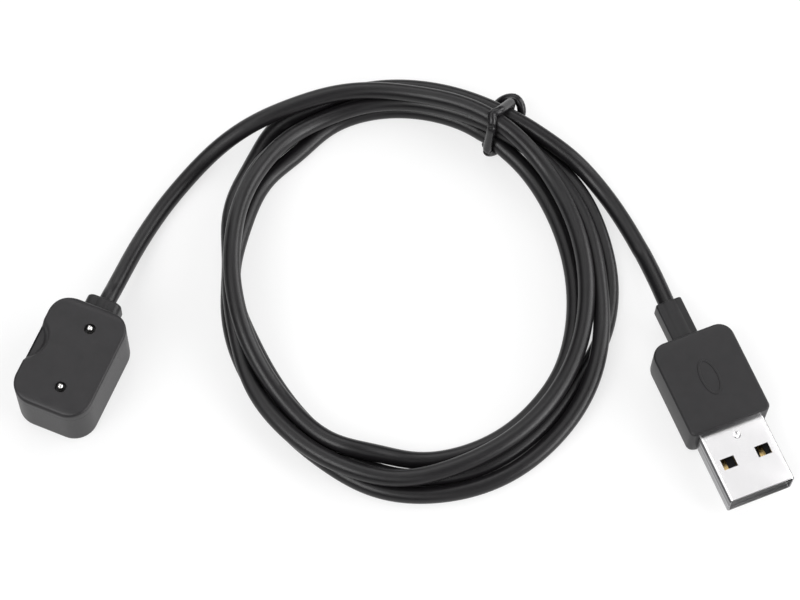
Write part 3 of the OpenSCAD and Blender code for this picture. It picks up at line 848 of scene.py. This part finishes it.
PLUG_SIDE = np.cross([0, 0, 1], PLUG_AXIS)


def at_plug(points):
    """Points of the plug's own frame, along, across and up, in the part's frame."""
    return [PLUG_ROOT + PLUG_AXIS * x + PLUG_SIDE * y + np.array([0, 0, z]) for x, y, z in points]


def along_plug(shape, x):
    return [(x, y, z) for y, z in shape]


def overmould_outline(width, height, top_r, bottom_r, arc=6):
    """The overmould's section: small radii at the top edges and larger ones below."""
    outline = []
    corners = [(1, -1, bottom_r, -90), (1, 1, top_r, 0), (-1, 1, top_r, 90), (-1, -1, bottom_r, 180)]
    for sx, sz, r, start in corners:
        cx, cz = sx * (width / 2 - r), sz * (height / 2 - r)
        for k in range(arc + 1):
            a = math.radians(start + 90 * k / arc)
            outline.append((cx + r * math.cos(a), cz + r * math.sin(a)))
    return outline


def add_overmould():
    """The plug's grip: rounder corners at the cord, crisp ones at the shell."""
    back_r, front_r, edge = 2.6, 1.0, 0.3
    stations = []
    for k in range(10):
        a = math.radians(90 * k / 9)
        stations.append((-OVERMOULD_L + back_r * (1 - math.cos(a)), back_r * (1 - math.sin(a))))
    stations += [(-12 + 2 * k, 0) for k in range(6)]
    for k in range(7):
        a = math.radians(90 * k / 6)
        stations.append((-front_r + front_r * math.sin(a), front_r * (1 - math.cos(a))))
    sections = []
    for x, narrow in stations:
        end_gap = min(x + OVERMOULD_L, -x)
        sink = edge - math.sqrt(max(edge**2 - max(edge - end_gap, 0) ** 2, 0))
        shape = overmould_outline(OVERMOULD_W - 2 * narrow, OVERMOULD_H - 2 * sink, 0.5, 1.6)
        sections.append(along_plug(shape, x))
    points, faces = loft(sections)
    return mesh_piece("plug_grip", at_plug(points), faces, "overmould", replaces=["plug_overmould"])


def add_grip_mark():
    """A plain raised ring on the grip, as a grip mark with no meaning."""
    long_r, short_r, wire, rise = 3.2, 1.5, 0.22, 0.1
    count = 48
    sections = []
    for k in range(count):
        a = 2 * math.pi * k / count
        middle = np.array([-9 + long_r * math.cos(a), short_r * math.sin(a)])
        normal = np.array([math.cos(a) / long_r, math.sin(a) / short_r])
        normal /= np.linalg.norm(normal)
        ring = []
        for side, up in ((-wire, -0.02), (-wire * 0.7, rise), (wire * 0.7, rise), (wire, -0.02)):
            spot = middle + normal * side
            ring.append((spot[0], spot[1], OVERMOULD_H / 2 + up))
        sections.append(ring)
    sections.append(sections[0])
    points, faces = loft(sections, False, False)
    return mesh_piece("grip_mark", at_plug(points), faces, "overmould")


def add_boot():
    """The strain relief: a flat slab with the cord's round ridge through it."""
    outline = ridge_outline(4.8, 3.4, 2.1, 0.35)
    bore = circle_like(outline, CORD_R + 0.02)
    back = -OVERMOULD_L - BOOT_L
    sections = [along_plug(bore, back + 1), along_plug(bore, back)]
    for k in range(6):
        a = math.radians(90 * k / 5)
        sink = 0.12 * (1 - math.sin(a))
        shrunk = [(y * (1 - sink), z * (1 - sink)) for y, z in outline]
        sections.append(along_plug(shrunk, back + 0.35 * (1 - math.cos(a))))
    sections += [along_plug(outline, back + 3), along_plug(outline, -OVERMOULD_L + 0.3)]
    points, faces = loft(sections)
    return mesh_piece("plug_strain_relief", at_plug(points), faces, "soft_black", replaces=["plug_boot"])


def block(x0, x1, y0, y1, z0, z1):
    """A closed box's points and faces, in the plug's frame."""
    sections = [[(x0, y0, z), (x1, y0, z), (x1, y1, z), (x0, y1, z)] for z in (z0, z1)]
    points, faces = loft(sections)
    return at_plug(points), faces


def add_shell():
    """The plug's folded metal shell: latch holes, a dimple and a turned-in mouth."""
    inner_w, inner_h = SHELL_W - 2 * SHELL_T, SHELL_H - 2 * SHELL_T
    outer = rounded_outline(SHELL_W, SHELL_H, 0.55, 6)
    inner = rounded_outline(inner_w, inner_h, 0.3, 6)
    mouth = rounded_outline(SHELL_W - 0.16, SHELL_H - 0.16, 0.5, 6)
    tail = -7.5           # how far the shell reaches into the moulds
    sections = [along_plug(inner, tail), along_plug(outer, tail), along_plug(outer, 0)]
    sections += [along_plug(outer, SHELL_OUT - 0.12), along_plug(mouth, SHELL_OUT)]
    sections += [along_plug(inner, SHELL_OUT), along_plug(inner, 0), along_plug(inner, tail)]
    points, faces = loft(sections, False, False)
    shell = mesh_piece(
        "plug_metal_shell", at_plug(points), faces, "shell_metal", replaces=["plug_shell"], sharp=30
    )
    merge_doubles(shell)
    hole_x, hole_l, hole_w, hole_y = SHELL_OUT - 6.5, 2.0, 2.5, 3.2
    for side in (-1, 1):
        y = side * hole_y
        hole = block(hole_x - hole_l / 2, hole_x + hole_l / 2, y - hole_w / 2, y + hole_w / 2, -3, 3)
        cut(shell, *hole, sharp=30)
    dimple = [
        [
            (1.9 + r * math.cos(math.radians(a)), 0.2 + r * math.sin(math.radians(a)), SHELL_H / 2 + z)
            for a in range(0, 360, 15)
        ]
        for r, z in ((0.25, -0.16), (0.5, -0.12), (0.62, -0.03), (0.7, 0.05))
    ]
    points, faces = loft(dimple)
    cut(shell, at_plug(points), faces, sharp=30)
    return shell


def merge_doubles(piece):
    modifier = piece.modifiers.new("weld", "WELD")
    modifier.merge_threshold = 1e-6
    apply_modifiers(piece)


# ---------------------------------------------------------------- assembly

KEPT_NODES = {
    "head_circuit_board": "board", "head_solder_joints": "solder",
    "head_magnet_front": "magnet", "head_magnet_rear": "magnet",
    "pin_barrel_front": "gold_plated", "pin_barrel_rear": "gold_plated",
    "head_wire_red": "wire_red", "head_wire_black": "wire_black", "head_cord_crimp": "crimp",
    "plug_inner_mould": "inner_mould", "plug_insulator": "insulator",
    "plug_contact_supply": "gold_plated", "plug_contact_data_a": "gold_plated",
    "plug_contact_data_b": "gold_plated", "plug_contact_ground": "gold_plated",
    "plug_wire_red": "wire_red", "plug_wire_black": "wire_black", "plug_solder_joints": "solder",
}


def paint_kept_nodes():
    """The CAD's own pieces inside the head and the plug keep their shape and get their materials."""
    for node, slot in KEPT_NODES.items():
        mesh = frame["nodes"][node].data
        mesh.materials.clear()
        mesh.materials.append(MATERIALS[slot])


def declare_cord():
    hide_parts("dock_lead", "cord_coil", "plug_lead")


add_camera()
add_studio()
cord = add_cord()
tie = add_tie()
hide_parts("cord_tie")
add_head_base()
add_head_cover()
for side in ("front", "rear"):
    add_pin(side)
    add_spring(side)
collar = add_collar()
grip = add_overmould()
mark = add_grip_mark()
boot = add_boot()
shell = add_shell()
paint_kept_nodes()
declare_cord()
